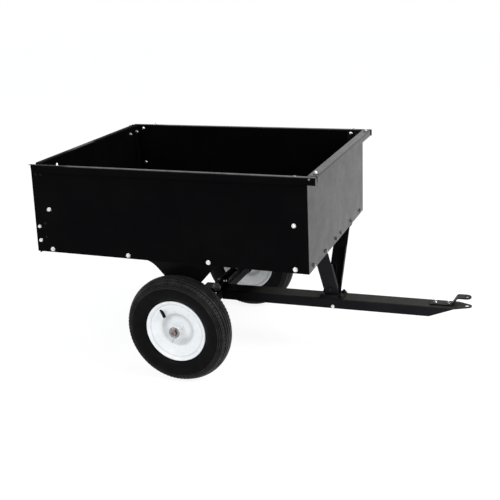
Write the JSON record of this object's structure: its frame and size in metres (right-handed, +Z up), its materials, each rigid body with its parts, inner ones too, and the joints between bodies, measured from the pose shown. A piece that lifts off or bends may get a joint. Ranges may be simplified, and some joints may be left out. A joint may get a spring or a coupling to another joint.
{
  "type": "tow-behind dump cart",
  "caption": "Tow-behind steel dump cart: open bed with a lift-out tailgate, two pneumatic wheels, and a drawbar with a pin hitch and a tilt latch.",
  "frame": {"origin": "on the ground under the middle of the cart's outline", "axes": "+X forward to the hitch, +Y to the cart's left, +Z up"},
  "size_m": [1.5624, 0.84, 0.801],
  "materials": {
    "black_paint": "satin black powder coat, slightly orange-peeled",
    "white_paint": "gloss white enamel",
    "zinc_plate": "bright zinc plate",
    "tyre_rubber": "matte black rubber with ribbed tread",
    "bronze_bush": "plain sintered bronze",
    "bare_steel": "bare turned steel, lightly oiled"
  },
  "bodies": {
    "drawbar": {"tongue": "black_paint", "hitch_strap": "black_paint", "hitch_bolt_rear": "zinc_plate", "hitch_bolt_front": "zinc_plate", "latch_plate": "black_paint", "latch_plate_bolt_rear_right": "zinc_plate", "latch_plate_bolt_rear_left": "zinc_plate", "latch_plate_bolt_front_right": "zinc_plate", "latch_plate_bolt_front_left": "zinc_plate", "striker_bolt": "zinc_plate", "axle_channel": "black_paint", "axle_saddle_right": "black_paint", "axle_saddle_left": "black_paint", "clamp_cheek_right": "black_paint", "clamp_cheek_left": "black_paint", "clamp_bolt": "black_paint", "clamp_tube": "black_paint", "axle": "bare_steel", "axle_washer_outer_right": "zinc_plate", "axle_washer_inner_right": "zinc_plate", "axle_washer_outer_left": "zinc_plate", "axle_washer_inner_left": "zinc_plate", "cotter_pin_right": "bare_steel", "cotter_pin_left": "bare_steel"},
    "bed": {"bed_floor": "black_paint", "front_panel": "black_paint", "side_panel_right": "black_paint", "side_panel_left": "black_paint", "guide_front_right": "black_paint", "guide_front_left": "black_paint", "guide_rear_right": "black_paint", "guide_rear_left": "black_paint", "wheel_support_right": "black_paint", "wheel_support_left": "black_paint", "support_bush_right": "bronze_bush", "support_bush_left": "bronze_bush", "leg_right": "black_paint", "leg_left": "black_paint", "latch_spacer_right": "black_paint", "latch_spacer_left": "black_paint", "latch_pivot_bolt": "zinc_plate"},
    "wheel_right": {"tyre_right": "tyre_rubber", "rim_outer_right": "white_paint", "rim_inner_right": "white_paint", "hub_right": "white_paint", "hub_bush_outer_right": "bronze_bush", "hub_bush_inner_right": "bronze_bush", "valve_stem_right": "tyre_rubber"},
    "wheel_left": {"tyre_left": "tyre_rubber", "rim_outer_left": "white_paint", "rim_inner_left": "white_paint", "hub_left": "white_paint", "hub_bush_outer_left": "bronze_bush", "hub_bush_inner_left": "bronze_bush", "valve_stem_left": "tyre_rubber"},
    "latch": {"latch_lever": "black_paint", "latch_spring": "zinc_plate"},
    "tailgate": {"tailgate": "black_paint"}
  },
  "joints": [
    {"name": "bed_tilt", "type": "hinge", "parent": "drawbar", "child": "bed", "pos_m": [-0.21923, 0, 0.203], "axis": [0, -1, 0], "range_deg": [0, 40]},
    {"name": "wheel_right_spin", "type": "hinge", "parent": "drawbar", "child": "wheel_right", "pos_m": [-0.21923, -0.3646, 0.203], "axis": [0, 1, 0], "continuous": true},
    {"name": "wheel_left_spin", "type": "hinge", "parent": "drawbar", "child": "wheel_left", "pos_m": [-0.21923, 0.3646, 0.203], "axis": [0, 1, 0], "continuous": true},
    {"name": "latch_swing", "type": "hinge", "parent": "bed", "child": "latch", "pos_m": [0.26377, 0, 0.275], "axis": [0, 1, 0], "range_deg": [-4, 15], "stiffness_Nm_per_rad": 1},
    {"name": "tailgate_lift", "type": "slide", "parent": "bed", "child": "tailgate", "axis": [0, 0, 1], "range_m": [0, 0.34]}
  ]
}
